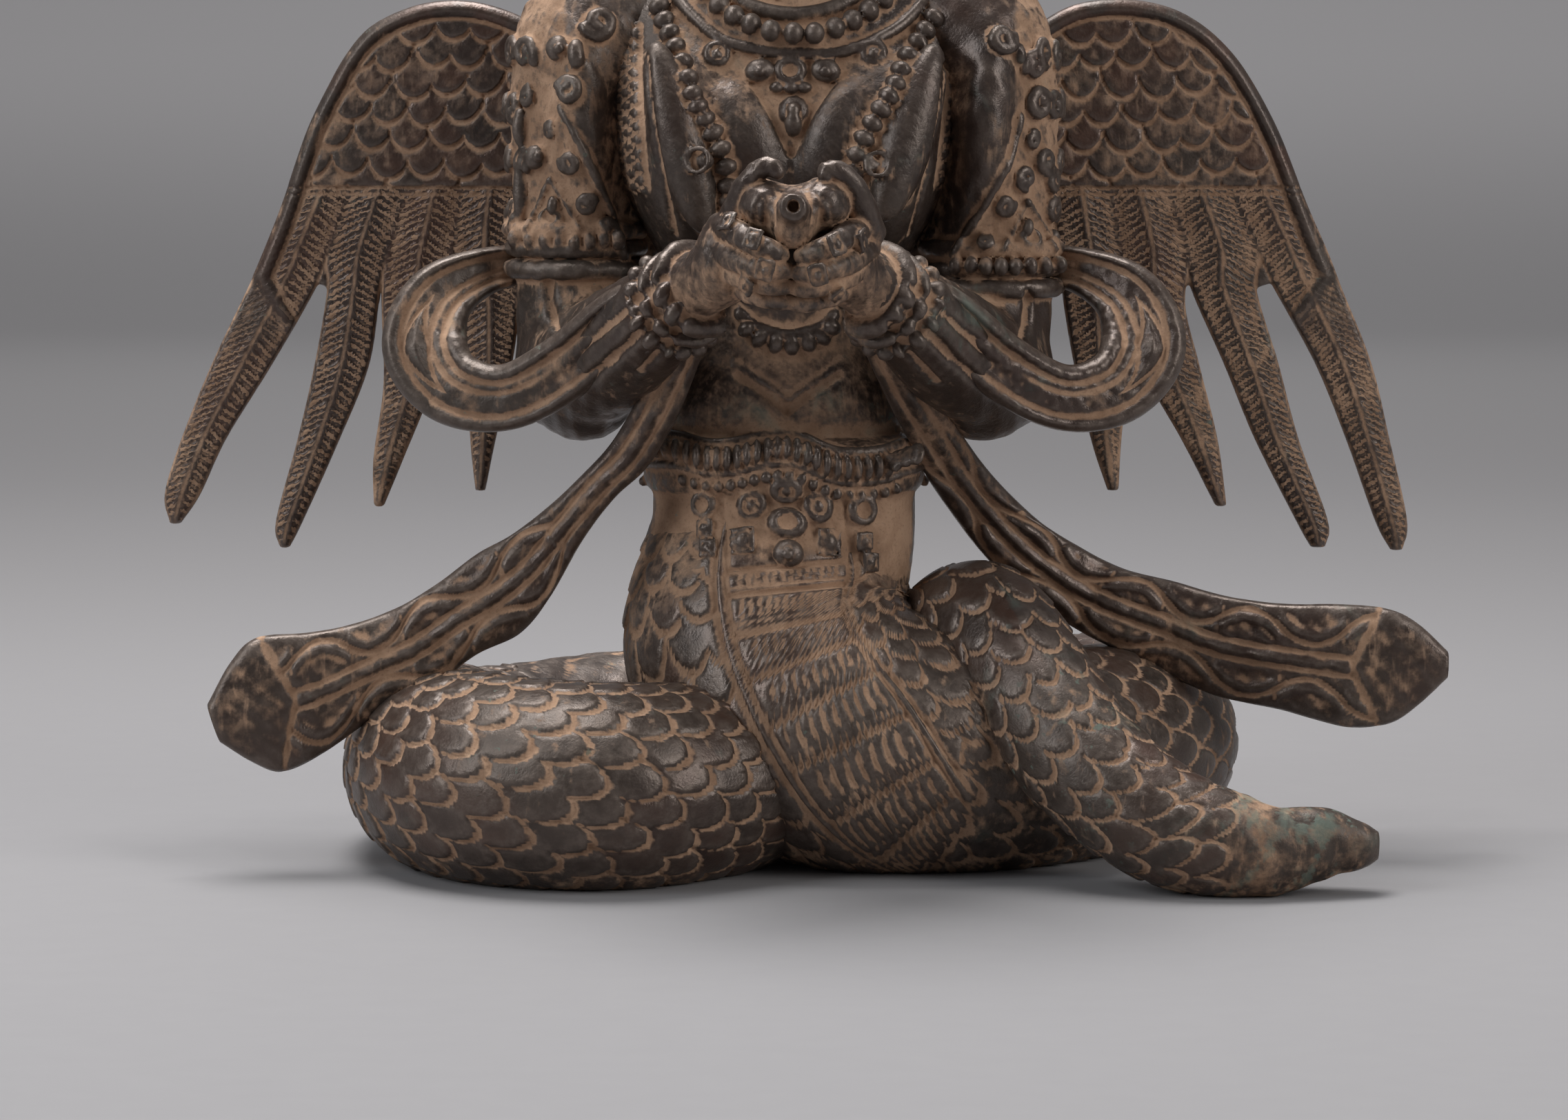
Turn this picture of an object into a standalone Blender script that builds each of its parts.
"""A naga maiden in cast bronze: a winged goddess whose body runs on as a snake, coiled under her.

Run it with blender --background --python part.py, or from Blender's text editor. Metres, +Z up, the
front faces -Y. The whole figure is one casting, so every form below is joined into one solid.
"""

import math

import bmesh
import bpy
import numpy as np
from mathutils import Matrix, Vector
from mathutils.bvhtree import BVHTree

# The driving size: from the ground to the top of the snake hood.
HEIGHT = 0.2135
# The pose is free form, so it is written in shares of the height, and one share is about a millimetre.
SHARE = HEIGHT / 213.5

# Real thicknesses of the thin cast sheets.
WING_THICKNESS = 0.0028
FEATHER_THICKNESS = 0.0036
WING_RIM_RADIUS = 0.0017
SASH_THICKNESS = 0.0038
SCARF_THICKNESS = 0.0042
LEAF_THICKNESS = 0.0024

# Relief of the carving.
SCALE_RELIEF = 0.0008
TILE_RELIEF = 0.0010
CORD_RADIUS = 0.0014

# How much is filed off the coil underneath, so that it stands flat.
FILED_UNDERSIDE = 0.0008
# Joining leaves slivers, so the solid is thinned out to this many triangles.
TRIANGLES = 9800

# Where the middle of the finished box lies in the drawing, in shares of the height.
MIDDLE = (1.7, 1.15)

BRONZE_COLOUR = (0.085, 0.058, 0.043, 1)
BRONZE_ROUGHNESS = 0.5
BRONZE_METALLIC = 0.6

LEFT, RIGHT = -1, 1


def clear_scene():
    for old in list(bpy.data.objects):
        bpy.data.objects.remove(old, do_unlink=True)


def new_collection(name):
    collection = bpy.data.collections.new(name)
    bpy.context.scene.collection.children.link(collection)
    return collection


def bronze():
    material = bpy.data.materials.new("dark bronze")
    material.use_nodes = True
    shader = material.node_tree.nodes["Principled BSDF"]
    shader.inputs["Base Color"].default_value = BRONZE_COLOUR
    shader.inputs["Roughness"].default_value = BRONZE_ROUGHNESS
    shader.inputs["Metallic"].default_value = BRONZE_METALLIC
    return material


# Curves and frames

def curve_through(knots, count):
    """A smooth curve through the knots, as count rows evenly spaced along its length.

    The first three numbers of a knot are its place, and the others, such as a radius, go along.
    """
    knots = np.asarray(knots, float)
    ends = np.vstack([2 * knots[0] - knots[1], knots, 2 * knots[-1] - knots[-2]])
    fine = []
    for a, b, c, d in zip(ends, ends[1:], ends[2:], ends[3:]):
        for t in np.linspace(0, 1, 24, endpoint=False):
            bend = 2 * a - 5 * b + 4 * c - d
            fine.append(b + 0.5 * ((c - a) * t + bend * t * t + (3 * b - a - 3 * c + d) * t ** 3))
    fine.append(knots[-1])
    fine = np.array(fine)
    along = run_length(fine)
    wanted = np.linspace(0, along[-1], count)
    return np.column_stack([np.interp(wanted, along, column) for column in fine.T])


def run_length(points):
    steps = np.linalg.norm(np.diff(points[:, :3], axis=0), axis=1)
    return np.r_[0, np.cumsum(steps)]


def frames_along(points, facing, eased=0):
    """For each point the way faced, made square to the curve, and the way across.

    Easing averages the curve's way over that many neighbours, so that a thick body doesn't fold
    on the inner side of a tight bend.
    """
    travel = np.gradient(points[:, :3], axis=0)
    if eased:
        padded = np.pad(travel, ((eased, eased), (0, 0)), "edge")
        window = np.ones(2 * eased + 1)
        travel = np.column_stack([np.convolve(column, window, "valid") for column in padded.T])
    travel /= np.linalg.norm(travel, axis=1)[:, None]
    facing = np.broadcast_to(np.asarray(facing, float), travel.shape)
    facing = facing - (facing * travel).sum(1)[:, None] * travel
    facing = facing / np.linalg.norm(facing, axis=1)[:, None]
    return facing, np.cross(travel, facing)


# Solids

def finish_mesh(bm, name, collection):
    bmesh.ops.triangulate(bm, faces=bm.faces)
    bmesh.ops.recalc_face_normals(bm, faces=bm.faces)
    data = bpy.data.meshes.new(name)
    bm.to_mesh(data)
    bm.free()
    thing = bpy.data.objects.new(name, data)
    collection.objects.link(thing)
    return thing


def skin(name, rings, collection):
    """A closed solid through rings of points in metres, with a fan over each end."""
    bm = bmesh.new()
    loops = [[bm.verts.new(Vector(p)) for p in ring] for ring in rings]
    for lower, upper in zip(loops, loops[1:]):
        for i in range(len(lower)):
            j = (i + 1) % len(lower)
            bm.faces.new((lower[i], lower[j], upper[j], upper[i]))
    for loop in (loops[0], loops[-1]):
        middle = bm.verts.new(sum((v.co for v in loop), Vector()) / len(loop))
        for i in range(len(loop)):
            bm.faces.new((loop[i - 1], loop[i], middle))
    return finish_mesh(bm, name, collection)


def prism(name, outline, collection):
    """A plate from (x, z, y of the front, y of the back) corners, in metres."""
    bm = bmesh.new()
    front = [bm.verts.new((x, y, z)) for x, z, y, _ in outline]
    back = [bm.verts.new((x, y, z)) for x, z, _, y in outline]
    bm.faces.new(front)
    bm.faces.new(back)
    for i in range(len(outline)):
        bm.faces.new((front[i - 1], front[i], back[i], back[i - 1]))
    return finish_mesh(bm, name, collection)


def pebble(name, place, radii, collection, turn=Matrix.Identity(4), fineness=1):
    """An egg with three half sizes. The place and sizes are in shares of the height."""
    bm = bmesh.new()
    bmesh.ops.create_icosphere(bm, subdivisions=fineness, radius=1)
    bmesh.ops.scale(bm, verts=bm.verts, vec=Vector(radii) * SHARE)
    matrix = Matrix.Translation(Vector(place) * SHARE) @ turn
    bmesh.ops.transform(bm, verts=bm.verts, matrix=matrix)
    return finish_mesh(bm, name, collection)


def stud(name, place, radii, collection, turn=Matrix.Identity(4)):
    """A small eight sided bead, which is enough for the pearl strings."""
    bm = bmesh.new()
    bmesh.ops.create_uvsphere(bm, u_segments=4, v_segments=2, radius=1)
    bmesh.ops.scale(bm, verts=bm.verts, vec=Vector(radii) * SHARE)
    matrix = Matrix.Translation(Vector(place) * SHARE) @ turn
    bmesh.ops.transform(bm, verts=bm.verts, matrix=matrix)
    return finish_mesh(bm, name, collection)


def band(name, place, axis, radius, height, collection, sides=12):
    """A short closed cylinder across a limb, such as a bracelet."""
    bm = bmesh.new()
    bmesh.ops.create_cone(bm, cap_ends=True, segments=sides, radius1=radius * SHARE,
                          radius2=radius * SHARE, depth=height * SHARE)
    turn = Vector(axis).to_track_quat("Z", "Y").to_matrix().to_4x4()
    matrix = Matrix.Translation(Vector(place) * SHARE) @ turn
    bmesh.ops.transform(bm, verts=bm.verts, matrix=matrix)
    return finish_mesh(bm, name, collection)


def limb(name, knots, collection, sides=10, rings=7, facing=(0, 0, 1), flatness=1.0):
    """A tube through knots of place and radius, in shares; flatness squeezes the way it faces."""
    path = curve_through(knots, rings) * SHARE
    facing, across = frames_along(path, facing)
    turns = [i * 2 * math.pi / sides for i in range(sides)]
    rings = [[p[:3] + p[3] * (math.cos(t) * flatness * f + math.sin(t) * a) for t in turns]
             for p, f, a in zip(path, facing, across)]
    return skin(name, rings, collection)


def strap(name, knots, thickness, collection, rings=9, facing=(0, -1, 0), edge=0.55):
    """A flat strip through knots of place and half width; its midline is a low ridge.

    The thickness is in metres, and edge is the share of it that is left at the sides.
    """
    path = curve_through(knots, rings) * SHARE
    facing, across = frames_along(path, facing)
    profile = ((-1, edge), (0, 1), (1, edge), (1, -edge), (0, -1), (-1, -edge))
    rings = [[p[:3] + p[3] * w * a + thickness / 2 * h * f for w, h in profile]
             for p, f, a in zip(path, facing, across)]
    return skin(name, rings, collection)


def ribbon(name, rows, thickness, collection, edge=0.6):
    """A flat strip between two edges, with a low ridge along its middle.

    A row is (x, z of the one edge, x, z of the other edge, y), in shares of the height.
    """
    rings = []
    for ax, az, bx, bz, y in rows:
        a, b = np.array((ax, y, az)) * SHARE, np.array((bx, y, bz)) * SHARE
        front, middle = np.array((0, -thickness / 2, 0)), (a + b) / 2
        rings.append([a + edge * front, middle + front, b + edge * front,
                      b - edge * front, middle - front, a - edge * front])
    return skin(name, rings, collection)


# The snake's body

# Place, radius and the way the belly faces, from the hips round the coil and back under the hips.
BODY_KNOTS = (
    (-0.4, 2, 54, 19, 0.05, -1, 0), (-1.9, 1, 46, 21.8, 0.1, -1, 0),
    (-2.6, -1.5, 37, 23.4, 0.25, -0.97, 0), (1.5, -6, 28.5, 23.6, 0.25, -0.95, -0.1),
    (9, -10, 22.3, 22.6, 0.1, -0.95, -0.3), (21, -11.5, 19.4, 20.4, -0.1, -0.7, -0.7),
    (36.5, -7, 17.4, 18.2, 0, -0.3, -0.95), (51, 4, 16.4, 17.2, 0, 0, -1),
    (58.2, 21, 16, 16.8, 0, 0, -1), (51.5, 38, 15.3, 16, 0, 0, -1),
    (34, 47.5, 14.8, 15.5, 0, 0, -1), (10, 50.5, 14.4, 15.1, 0, 0, -1),
    (-16, 48, 13.9, 14.6, 0, 0, -1), (-38, 38.5, 13.3, 14, 0, 0, -1),
    (-50.5, 24, 13.4, 14, 0, 0, -1), (-55, 7, 14.8, 15.6, 0, 0, -1),
    (-52.6, -13, 15.7, 16.5, 0, 0, -1), (-43, -26.5, 15.9, 16.7, 0, 0, -1),
    (-27, -30.5, 15.7, 16.4, 0, 0, -1), (-12, -20, 15.2, 15.5, 0, 0, -1),
    (0, -8, 15, 13.5, 0, 0, -1))
BODY_SCALES_AROUND = 10
BODY_ROW_PITCH = 8
# The carved stretches. The coil behind the figure has no scales, as what shows of it is plain.
BODY_SCALED = ((0, 122), (236, 322))
PLAIN_PITCH = 14
BELLY_HALF_ANGLE = math.radians(27)
EASED = 8

TAIL_KNOTS = (
    (13, 9, 19, 9.5, 0, 0.5, -1), (18.5, 6, 26.5, 10, 0, 1, -1), (24.5, 0, 33.4, 10.2, 0, 0, -1),
    (31.4, -10.5, 38.1, 10.7, 0, 0.4, -1), (38.4, -22.5, 30.4, 10.3, 0, 1, -1),
    (46, -31.5, 20.4, 9.9, 0, 1, -1), (56.5, -37.4, 12.2, 9.4, 0, 0.6, -1),
    (66, -40, 8.8, 8.4, 0, 0, -1), (75, -40.2, 7.8, 6.9, 0, 0, -1),
    (82, -39.6, 8.6, 5.5, 0, 0, -1), (88.2, -39, 8.4, 3.8, 0, 0, -1), (91, -39, 8.4, 2, 0, 0, -1))
TAIL_SCALES_AROUND = 6
TAIL_ROW_PITCH = 7.4
TAIL_SCALED = ((14, 92),)


def scaly_tube(name, knots, around, pitch, scaled, collection):
    """A snake's body: each row of scales ends in a scalloped edge that stands over the next row."""
    path = curve_through(knots, 200) * SHARE
    reach = run_length(path)
    facing, across = frames_along(path, path[:, 4:7], EASED)
    angles = [k * math.pi / around for k in range(2 * around)]
    pitch, relief = pitch * SHARE, SCALE_RELIEF / 2

    def point(s, angle, raised):
        row = [np.interp(s, reach, column) for column in path[:, :4].T]
        f = np.array([np.interp(s, reach, column) for column in facing.T])
        a = np.array([np.interp(s, reach, column) for column in across.T])
        return np.array(row[:3]) + (row[3] + raised) * (math.cos(angle) * f + math.sin(angle) * a)

    def scalloped(s, row, raised):
        ring = []
        for k, angle in enumerate(angles):
            on_belly = min(angle, 2 * math.pi - angle) < BELLY_HALF_ANGLE
            back = 0 if on_belly or (k + row) % 2 == 0 else 0.42 * pitch
            ring.append(point(s - back, angle, raised))
        return ring

    rings = [[point(0, angle, 0) for angle in angles]]
    s, row = pitch, 0
    while s < reach[-1] - 0.5 * pitch:
        if any(start * SHARE < s < end * SHARE for start, end in scaled):
            rings.append(scalloped(s, row, relief))
            rings.append(scalloped(s + 0.12 * pitch, row, -relief))
            s += pitch
            row += 1
        else:
            rings.append([point(s, angle, 0) for angle in angles])
            s += min(PLAIN_PITCH * SHARE, 1.6 * pitch)
    rings.append([point(reach[-1], angle, 0) for angle in angles])
    return skin(name, rings, collection)


# The woman's body

# Height, half width, half depth and how far back the middle lies, from inside the coil to the neck.
TORSO_SECTIONS = (
    (44, 20, 17, 0), (50, 20.8, 18, 0.5), (57, 21, 17.6, 0.5), (65.5, 20.6, 16.5, 1),
    (68, 18.8, 14.6, 1), (72, 18.4, 14.4, 0.5), (77, 16.8, 13.4, 0), (82, 14.6, 12.2, 0),
    (87, 14.2, 12, 0), (92, 16.5, 13.2, 0), (98, 20.5, 15.5, 0), (105, 24.5, 17.5, 0.5),
    (112, 27, 18.5, 1), (120, 28.5, 18.3, 1.5), (127, 29.5, 17, 2), (133, 29, 14.5, 2.5),
    (138, 24.5, 12, 3), (142, 16.5, 10, 3), (145.5, 10.5, 8.8, 2.5), (150, 8.8, 8.4, 1.5),
    (156, 8.5, 8, 1))
TORSO_SQUARENESS = 2.3
HEAD_SECTIONS = (
    (152.5, 4.6, 4.6, -6.5), (154.5, 7.2, 7.6, -4.5), (158, 9.6, 10.4, -2.6), (163, 11.4, 12.6, -1.2),
    (168, 12.3, 13.6, -0.6), (173, 12.6, 14, -0.4), (178, 12.2, 13.4, 0), (183, 10.2, 11.2, 0.3),
    (187, 6, 6.6, 0.5))


def egg_loft(name, sections, sides, collection, squareness=2.0):
    """Rounded level sections of unlike size, one above the other."""
    rings = []
    for z, half_width, half_depth, back in sections:
        ring = []
        for i in range(sides):
            turn = i * 2 * math.pi / sides
            c, s = math.cos(turn), math.sin(turn)
            x = half_width * math.copysign(abs(c) ** (2 / squareness), c)
            y = back + half_depth * math.copysign(abs(s) ** (2 / squareness), s)
            ring.append(Vector((x, y, z)) * SHARE)
        rings.append(ring)
    return skin(name, rings, collection)


def feeler(forms):
    """Finds the place on the front of the forms that shows at x and z, all in shares."""
    trees = []
    for form in forms:
        corners = [v.co for v in form.data.vertices]
        trees.append(BVHTree.FromPolygons(corners, [list(p.vertices) for p in form.data.polygons]))

    def feel(x, z, lift=0.0):
        from_front = Vector((x * SHARE, -HEIGHT, z * SHARE))
        hits = [tree.ray_cast(from_front, Vector((0, 1, 0)))[0] for tree in trees]
        return x, min(hit.y for hit in hits if hit) / SHARE - lift, z

    return feel


def tilt(degrees, axis="Y"):
    return Matrix.Rotation(math.radians(degrees), 4, axis)


def body_and_bust(parts):
    forms = [egg_loft("torso", TORSO_SECTIONS, 16, parts, TORSO_SQUARENESS)]
    for side in (LEFT, RIGHT):
        forms.append(pebble("breast", (side * 16.5, -11, 113), (8, 9, 15), parts,
                            tilt(side * 9), 2))
        forms.append(pebble("inner fold", (side * 6.4, -15.5, 117), (5, 4.4, 10), parts,
                            tilt(side * 14)))
    return forms


def arms(parts):
    sleeves = []
    for side in (LEFT, RIGHT):
        shoulder_to_elbow = [
            (side * 25, 3, 136, 8), (side * 31, 2.5, 130, 10.8), (side * 33, 2, 120, 10.6),
            (side * 33.2, 1, 108, 10), (side * 33.2, 0, 97, 9.4), (side * 33, -1, 86, 9.6),
            (side * 32, -3, 77, 8.6), (side * 31, -4, 72.5, 5)]
        sleeves.append(limb("upper arm", shoulder_to_elbow, parts, 10, 7, (0, 1, 0)))
        elbow_to_wrist = [
            (side * 36, 0, 77, 7.5), (side * 31, -8, 79.5, 9.3), (side * 25, -19, 84, 9),
            (side * 18.5, -31, 90, 6.8), (side * 14, -38, 93.3, 5.4), (side * 9.5, -44, 96, 4.6)]
        sleeves.append(limb("sleeved forearm", elbow_to_wrist, parts, 10, 6))
        band("sleeve hem", (side * 33.2, 0.6, 101), (side * 0.05, 0.1, 1), 11, 4, parts, 10)
        along = Vector((side * -19, -30, 14))
        for step, radius in ((0.0, 7.6), (0.13, 7.2)):
            place = Vector((side * 17.2, -33, 90.8)) + along * step
            band("bracelet", place, along, radius, 3, parts, 8)
    return sleeves


def hands_and_conch(parts):
    for side in (LEFT, RIGHT):
        pebble("palm", (side * 8.6, -47, 98), (5, 6.4, 7.6), parts, tilt(side * 8))
        for i in range(4):
            z = 102.4 - 3.3 * i
            limb("finger", [(side * 11.4, -47.5, z, 1.9), (side * 10.2, -53, z + 0.2, 2),
                            (side * 5.4, -56.6 + 0.5 * i, z + 0.1, 1.9), (side * 1.4, -56 + i, z, 1.7)],
                 parts, sides=4, rings=4)
        limb("thumb", [(side * 8.6, -47, 102, 2.6), (side * 7.6, -48.5, 107.5, 2.1),
                       (side * 4.4, -49.5, 112, 1.5)], parts, sides=5, rings=3, facing=(0, 1, 0))
    limb("conch", [(0, -41, 103, 4.4), (0, -45, 104.4, 7), (0.2, -50, 105.2, 7.6),
                   (0.6, -55, 105.4, 6.2), (1, -58.5, 105.4, 3.6), (1.2, -61, 105.4, 2.4)],
         parts, sides=8, rings=6)
    pebble("conch knob", (1.3, -61.6, 105.4), (2.2, 2, 2.2), parts)


# Scarf loops and the sash

# Place and half width of the right arm's scarf, from the wrist down, out and back behind the arm.
SCARF_KNOTS = (
    (17, -33, 94.6, 3), (25, -27.5, 88.5, 4.6), (34, -21, 80.4, 5.2), (43.5, -17, 75.4, 5.2),
    (52.2, -14, 76.8, 6), (56.6, -11, 83.2, 6.8), (54.4, -7, 90.4, 5.6), (47.6, -2, 94.4, 3.8),
    (39, 4, 95.4, 3), (31, 8, 95, 2.6))
# The sash's two tails, as rows of (x, z of the upper edge, x, z of the lower edge, y).
SASH_LEFT = (
    (-18.4, 83.5, -12.6, 82.5, -23), (-23, 75, -16.6, 72.5, -19), (-27, 68.3, -21.4, 64.4, -16),
    (-31, 63.8, -26.6, 59.4, -15), (-36.4, 58.6, -31.6, 52.8, -15), (-42.4, 53.9, -36.8, 43.8, -15),
    (-48.3, 50.6, -41.6, 38, -15.5), (-54.2, 46.2, -48.6, 34.6, -16), (-60.2, 42.5, -56, 29, -16),
    (-67, 39.9, -64.5, 24.8, -17), (-74, 38.6, -72.2, 19.6, -19), (-82.5, 37.9, -78.6, 16.7, -20),
    (-86.6, 34.2, -83.4, 18.2, -20.5), (-90.3, 27.6, -88.2, 21.4, -21))
SASH_RIGHT = (
    (12.4, 83, 18.2, 84, -22), (16.6, 74, 22.6, 76.5, -15), (20.2, 67, 27.4, 70, -8),
    (22.9, 61.5, 31.6, 64, -3), (26.7, 55.8, 36, 58.9, 0), (31.2, 49.8, 41.5, 53.8, 2),
    (38, 42.6, 47.4, 50, 3), (47.4, 36.3, 54.4, 46.4, 3.5), (58.5, 30.8, 63, 44.2, 3),
    (69, 26.2, 71, 42.2, 0), (79.5, 24.2, 80, 41.3, -3), (89.8, 21.7, 90, 41.4, -5),
    (96.8, 22.3, 97, 40.6, -6), (101.3, 25.2, 101.5, 38.2, -6), (105.9, 29.6, 106, 34, -6))


def drapery(parts):
    for side in (LEFT, RIGHT):
        knots = [(side * x, y, z, w) for x, y, z, w in SCARF_KNOTS]
        strap("scarf loop", knots, SCARF_THICKNESS, parts, rings=12)
    ribbon("sash left", SASH_LEFT, SASH_THICKNESS, parts)
    ribbon("sash right", SASH_RIGHT, SASH_THICKNESS, parts)


# Wings

# The wing is drawn flat, as (out from the middle, up), and it leans back from its root outwards.
WING_ROOT = (10, 15.5)
WING_LEAN = 0.105
WING_EDGES = {
    LEFT: ((34, 129.5), (39.2, 133.2), (46.4, 136.4), (53, 137.6), (60, 136.8), (67.2, 133.6),
           (71.5, 129), (75, 123), (78, 117), (80.6, 110), (83, 103), (87.4, 92.4)),
    RIGHT: ((34, 128), (40, 132.8), (47, 136.8), (55, 137.8), (62.5, 136.6), (68.4, 133.6),
            (73.4, 129), (77.2, 123.6), (81, 116.6), (84, 109.4), (86.6, 102.6), (90.9, 92.4))}
WING_TILE_BASE = 108
WING_TILE_PITCH = 5.4
WING_TILE_WIDTH = 8.4
WING_TILE_ROWS = 5
# For each feather rows of (z, x of its outer edge, x of its inner edge), from the root to the tip.
FEATHERS = {
    LEFT: (((107, 81, 70.6), (97, 85.2, 74.6), (90.6, 88.2, 77.2), (78.2, 94.3, 84.5),
            (65.7, 99.6, 92.4), (56.4, 102.6, 96.9), (51.6, 101.8, 100.2)),
           ((107, 71.4, 61.4), (97, 75, 64.6), (90.6, 75, 66.4), (78.2, 77.2, 68.4),
            (65.7, 80.2, 73.5), (52, 84, 79.8), (47.8, 83.4, 82)),
           ((107, 62, 52.4), (97, 65.2, 54), (88, 66, 55.8), (75, 65.8, 58), (62.6, 67.6, 62.9),
            (54.8, 67.6, 66.2)),
           ((107, 53.2, 43.2), (97, 54.8, 43.4), (88, 53.4, 43.4), (77, 52, 45), (65.7, 51.5, 47.6),
            (57.6, 50.7, 49.3)),
           ((107, 44, 34), (92, 44, 35), (80, 42.6, 37), (70, 41, 38.8))),
    RIGHT: (((107, 84.4, 73), (97, 89.2, 77.6), (90.6, 91.8, 80.8), (78.2, 96.9, 87.8),
             (65.7, 100.1, 93.1), (52, 103.3, 98.2), (47.2, 102.6, 100.8)),
            ((107, 74, 62.6), (97, 78.2, 65.6), (90.6, 77.6, 67), (78.2, 81.4, 72.6),
             (65.7, 84.9, 77.9), (52, 90, 85), (47.8, 89.6, 87.4)),
            ((107, 63.4, 53), (97, 66.4, 54.6), (88, 65.8, 56.4), (78.2, 68.2, 58.6),
             (65.7, 71.4, 65.7), (54.8, 73, 71.4)),
            ((107, 53.8, 43.4), (97, 55.6, 45), (88, 56.4, 46), (77, 56.4, 48), (65.7, 55.4, 50.7),
             (57.6, 55, 53.4)),
            ((107, 44, 34), (92, 44, 35), (80, 42.6, 37), (70, 41, 38.8)))}


def wing(side, parts):
    first = set(parts.objects)
    half = WING_THICKNESS / 2
    rim = inset(WING_EDGES[side], WING_RIM_RADIUS / SHARE)
    notches = []
    for outer, inner in zip(FEATHERS[side], FEATHERS[side][1:]):
        notches += [((outer[2][1] + outer[2][2]) / 2, 89), (outer[2][2], 91.6)]
    outline = [(14, 99), (14, 122)] + rim + notches + [(38, 91)]
    prism("wing web", [(x * SHARE, z * SHARE, -half, half) for x, z in outline], parts)
    limb("wing rim", [(x, 0, z, WING_RIM_RADIUS / SHARE) for x, z in rim], parts, 4, 11, (0, 1, 0))
    for row in range(WING_TILE_ROWS):
        wing_tiles(rim, row, parts)
    for number, rows in enumerate(FEATHERS[side]):
        # Neighbours lie a little higher and lower, as real flight feathers overlap.
        depth = 0.2 if number % 2 else -0.2
        rows = [(outer, z, inner, z, depth) for z, outer, inner in rows]
        ribbon("feather", rows, FEATHER_THICKNESS, parts)
    for piece in set(parts.objects) - first:
        for corner in piece.data.vertices:
            x, y, z = corner.co
            corner.co = (side * x, y + (WING_ROOT[1] - WING_LEAN * WING_ROOT[0]) * SHARE
                         + WING_LEAN * x, z)
        if side == LEFT:
            piece.data.flip_normals()


def inset(edge, distance):
    """The same line, moved inwards to the right of its way."""
    moved = []
    for i, (x, z) in enumerate(edge):
        before, after = edge[max(i - 1, 0)], edge[min(i + 1, len(edge) - 1)]
        dx, dz = after[0] - before[0], after[1] - before[1]
        size = math.hypot(dx, dz)
        moved.append((x + distance * dz / size, z - distance * dx / size))
    return moved


def wing_tiles(rim, row, parts):
    """One row of overlapping small feathers, as a wedge with a scalloped lower edge."""
    base = WING_TILE_BASE + row * WING_TILE_PITCH
    crest = max(range(len(rim)), key=lambda i: rim[i][1])
    falling = rim[:crest - 1:-1]
    outer = float(np.interp(base + 3, [z for _, z in falling], [x for x, _ in falling])) - 1
    inner = 25 + (row % 2) * WING_TILE_WIDTH / 2
    count = max(1, round((outer - inner) / WING_TILE_WIDTH))
    width = (outer - inner) / count
    lower = [(inner + (i + t) * width, base - 1.8 * math.sin(math.pi * t))
             for i in range(count) for t in (0.0, 0.3, 0.7)]
    top = min(base + WING_TILE_PITCH + 0.6, rim[crest][1] - 0.5)
    shape = lower + [(outer, base), (outer - 2.4, top), (inner, top)]

    def front(z):
        return -WING_THICKNESS / 2 - TILE_RELIEF * (1 - (z - base) / (WING_TILE_PITCH + 1))

    prism("wing tiles", [(x * SHARE, z * SHARE, front(z), 0) for x, z in shape], parts)


# Head, crown and hood

def head(parts):
    egg_loft("head", HEAD_SECTIONS, 12, parts, 2.1)
    limb("nose", [(0, -13.2, 170, 0.9), (0, -14.6, 166.5, 1.3), (0, -15.3, 163.4, 1.9),
                  (0, -12.6, 161.6, 1.5)], parts, sides=5, rings=4, facing=(0, 1, 0))
    for side in (LEFT, RIGHT):
        pebble("eyelid", (side * 5, -11.6, 168.3), (2.7, 1.6, 1.2), parts, tilt(side * -6))
        limb("brow", [(side * 1.6, -13.4, 171.2, 0.6), (side * 5, -13, 172.6, 0.8),
                      (side * 8.8, -10, 171.2, 0.5)], parts, sides=4, rings=3)
        limb("ear", [(side * 12.2, -0.5, 172, 1.6), (side * 13, 0, 168, 2), (side * 12.6, -0.5, 163, 1.6),
                     (side * 12.4, -0.8, 157, 1.5)], parts, sides=5, rings=4, flatness=1.3)
        pebble("earring", (side * 12.8, -1.6, 154.5), (3.4, 2.4, 3.8), parts, fineness=1)
        pebble("cheek", (side * 6, -8.6, 162.4), (3.4, 3, 4), parts)
    pebble("upper lip", (0, -12.4, 159.6), (2.9, 1.7, 0.9), parts)
    pebble("lower lip", (0, -12, 158), (2.2, 1.6, 0.9), parts)
    pebble("chin", (0, -9.6, 155), (3, 2.2, 2.2), parts)


def crown(parts):
    band("crown band", (0, -0.4, 176.4), (0, -0.08, 1), 14.2, 3, parts, 12)
    for number in range(5):
        turn = math.radians((number - 2) * 38)
        tall = 15 - 2.2 * abs(number - 2)
        out = np.array((math.sin(turn), -math.cos(turn), 0))
        foot = out * 13.6 + (0, -0.4, 0)
        knots = [(*(foot + (0, 0, 175)), 3.4), (*(foot + out * 0.7 + (0, 0, 175 + tall * 0.4)), 4.2),
                 (*(foot + out * 1.4 + (0, 0, 175 + tall * 0.75)), 2.6),
                 (*(foot + out * 1.6 + (0, 0, 175 + tall)), 0.5)]
        strap("crown leaf", knots, LEAF_THICKNESS, parts, rings=4, facing=out)
        stud("crown jewel", foot + out * 1.4 + (0, 0, 181), (1.6, 1.6, 2), parts)
    limb("topknot", [(0, 1, 182, 8), (0, 1.2, 187, 7.4), (0, 1.4, 191, 5), (0, 1.4, 193, 4.2),
                     (0, 1.4, 196.5, 4.4), (0, 1.4, 200, 2.4), (0, 1.4, 202, 0.8)],
         parts, sides=8, rings=7, facing=(0, 1, 0))


# For each cobra of the hood: how far it fans out, how high it reaches and how wide it is.
COBRAS = ((0, 213, 9), (18.5, 205, 8.2), (33, 190, 7.6))


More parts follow.
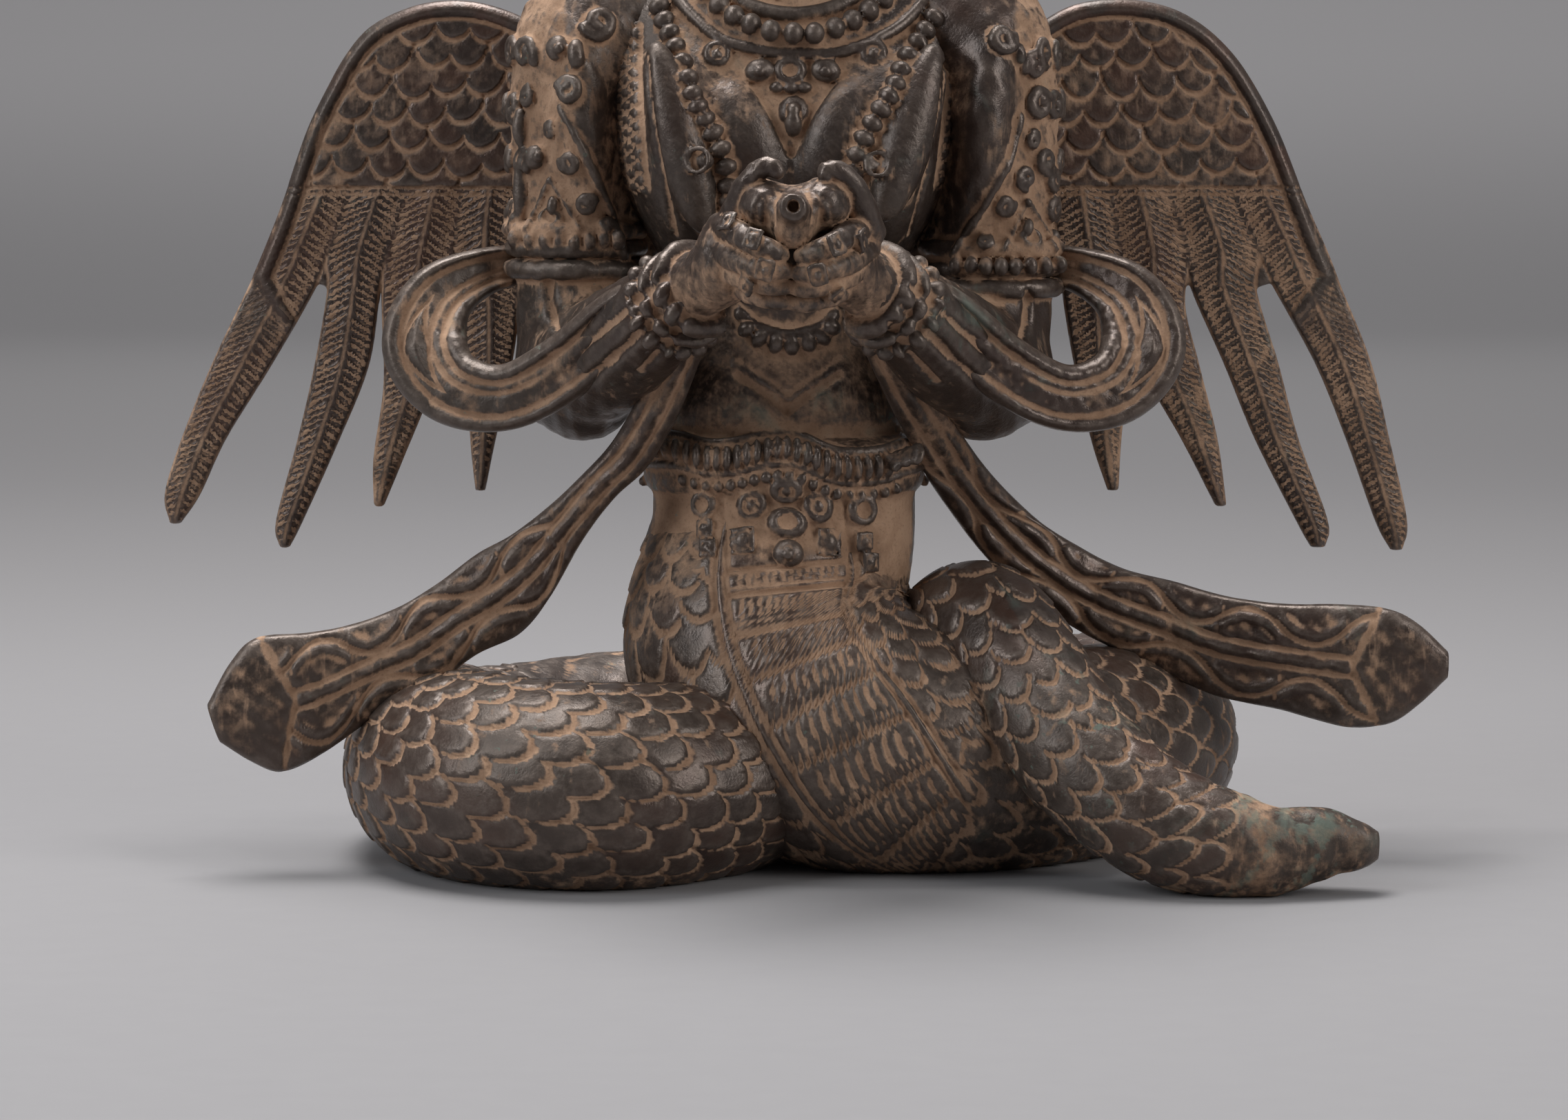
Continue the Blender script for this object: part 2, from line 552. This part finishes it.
def snake_hood(parts):
    for out, top, wide in COBRAS:
        for side in ((RIGHT,) if out == 0 else (LEFT, RIGHT)):
            x = side * out
            rise = top - 140
            knots = [(x * 0.2, 13, 124, 4), (x * 0.46, 15, 142, 5.6),
                     (x * 0.8, 16.4, 140 + rise * 0.42, wide), (x * 0.97, 15.2, 140 + rise * 0.7, wide),
                     (x * 1.02, 12.6, top - 8, wide * 0.78), (x, 9.4, top - 1.4, wide * 0.42)]
            limb("cobra", knots, parts, sides=6, rings=6, facing=(0, -1, 0), flatness=0.42)
            pebble("cobra head", (x * 0.98, 7, top - 5.6), (4.6, 6.4, 3.8), parts)


# Jewels and curls

BELT_SECTIONS = ((58.5, 20.6, 16.8, 1), (60.5, 22.3, 18.2, 1), (65, 22.6, 18.4, 1), (67, 20.2, 16, 1))
# Out from the middle, up and how large.
CURLS = ((30, 137, 3.8), (38, 131.6, 3.4), (40.6, 124.6, 3.2), (41, 115, 3), (36.6, 108.4, 2.8))
STRING = ((19.5, 137), (17.6, 128), (15.4, 120), (12.6, 112), (10.6, 106.5))
COLLAR = ((-15, 138), (-11, 132.4), (-5.5, 129.6), (0, 128.8), (5.5, 129.6), (11, 132.4), (15, 138))


def jewels(torso, sleeves, parts):
    on_torso, on_sleeves = feeler(torso), feeler(torso + sleeves)
    cord = CORD_RADIUS / SHARE
    for side in (LEFT, RIGHT):
        string = [(*on_torso(side * x, z, 0.5), cord) for x, z in STRING]
        limb("bead string", string, parts, 4, 6, (0, -1, 0))
        for x, z, r in CURLS:
            pebble("curl", on_sleeves(side * x, z, 0.4), (r, r * 0.9, r), parts)
        band_knots = [(*on_torso(side * x, z, 0.1), w) for x, z, w in
                      ((23.4, 132, 2), (24.4, 121, 2.3), (22.4, 110, 2), (19, 102.5, 1.4))]
        strap("crossed band", band_knots, SASH_THICKNESS / 2, parts, 4, (side * 0.5, -1, 0))
        pebble("side medallion", on_torso(side * 12.4, 56.6, 0.3), (2.6, 1.8, 2.6), parts)
        stud("side stone", on_torso(side * 12.6, 51.4, 0.2), (2, 1.7, 2.4), parts)
    limb("collar", [(*on_torso(x, z, 0.3), 1.5) for x, z in COLLAR], parts, 4, 7, (0, -1, 0))
    limb("navel string", [(*on_torso(x, 84.6 - 1.6 * math.cos(x / 4), 0.2), 1.3)
                          for x in (-8, -4, 0, 4, 8)], parts, 4, 4, (0, -1, 0))
    egg_loft("belt", BELT_SECTIONS, 16, parts, TORSO_SQUARENESS)
    for x, z, r in ((0, 126, 2.6), (-5.4, 126.2, 2), (5.4, 126.2, 2), (0.6, 119.6, 2.2)):
        pebble("pendant", on_torso(x, z, 0.4), (r, 1.8, r), parts)
    for x, z, r in ((0.4, 54, 3.2), (-4.6, 56.8, 2.4), (0.4, 58.4, 2.3), (5.2, 56.6, 2.4),
                    (0.4, 49.8, 2.2)):
        pebble("rosette", on_torso(x, z, 0.4), (r, 2, r * 0.9), parts)


# One casting

def cast_together(name, parts, material):
    """Joins all the forms into one closed solid with an exact union, and files it flat below."""
    forms = list(parts.objects)
    base = forms[0]
    others = new_collection("forms to join")
    for form in forms[1:]:
        others.objects.link(form)
        parts.objects.unlink(form)
    union = base.modifiers.new("cast together", "BOOLEAN")
    union.operation = "UNION"
    union.solver = "MANIFOLD"
    union.operand_type = "COLLECTION"
    union.collection = others
    base.modifiers.new("triangles", "TRIANGULATE")
    joined = apply_modifiers(base, "joined", parts)
    thinned = joined.modifiers.new("thin out", "DECIMATE")
    thinned.ratio = TRIANGLES / len(joined.data.polygons)
    solid = apply_modifiers(joined, name, parts)
    for form in forms + [joined]:
        bpy.data.objects.remove(form, do_unlink=True)
    bpy.data.collections.remove(others)
    shift = Vector((-MIDDLE[0] * SHARE, -MIDDLE[1] * SHARE, -FILED_UNDERSIDE))
    solid.data.transform(Matrix.Translation(shift))
    file_flat(solid)
    solid.data.materials.clear()
    solid.data.materials.append(material)
    return solid


def apply_modifiers(thing, name, collection):
    evaluated = thing.evaluated_get(bpy.context.evaluated_depsgraph_get())
    data = bpy.data.meshes.new_from_object(evaluated)
    data.name = name
    solid = bpy.data.objects.new(name, data)
    collection.objects.link(solid)
    return solid


def file_flat(solid):
    """Cuts off what lies below the ground and closes the cuts."""
    bm = bmesh.new()
    bm.from_mesh(solid.data)
    everything = bm.verts[:] + bm.edges[:] + bm.faces[:]
    cut = bmesh.ops.bisect_plane(bm, geom=everything, dist=1e-7, plane_co=(0, 0, 0),
                                 plane_no=(0, 0, 1), clear_inner=True)
    rims = [item for item in cut["geom_cut"] if isinstance(item, bmesh.types.BMEdge)]
    bmesh.ops.edgeloop_fill(bm, edges=rims)
    bmesh.ops.triangulate(bm, faces=bm.faces)
    bmesh.ops.recalc_face_normals(bm, faces=bm.faces)
    bm.to_mesh(solid.data)
    bm.free()


def main():
    clear_scene()
    parts = new_collection("naga maiden")
    scaly_tube("snake body", BODY_KNOTS, BODY_SCALES_AROUND, BODY_ROW_PITCH, BODY_SCALED, parts)
    scaly_tube("snake tail", TAIL_KNOTS, TAIL_SCALES_AROUND, TAIL_ROW_PITCH, TAIL_SCALED, parts)
    torso = body_and_bust(parts)
    sleeves = arms(parts)
    hands_and_conch(parts)
    drapery(parts)
    wing(LEFT, parts)
    wing(RIGHT, parts)
    head(parts)
    crown(parts)
    snake_hood(parts)
    jewels(torso, sleeves, parts)
    cast_together("naga_maiden", parts, bronze())


main()
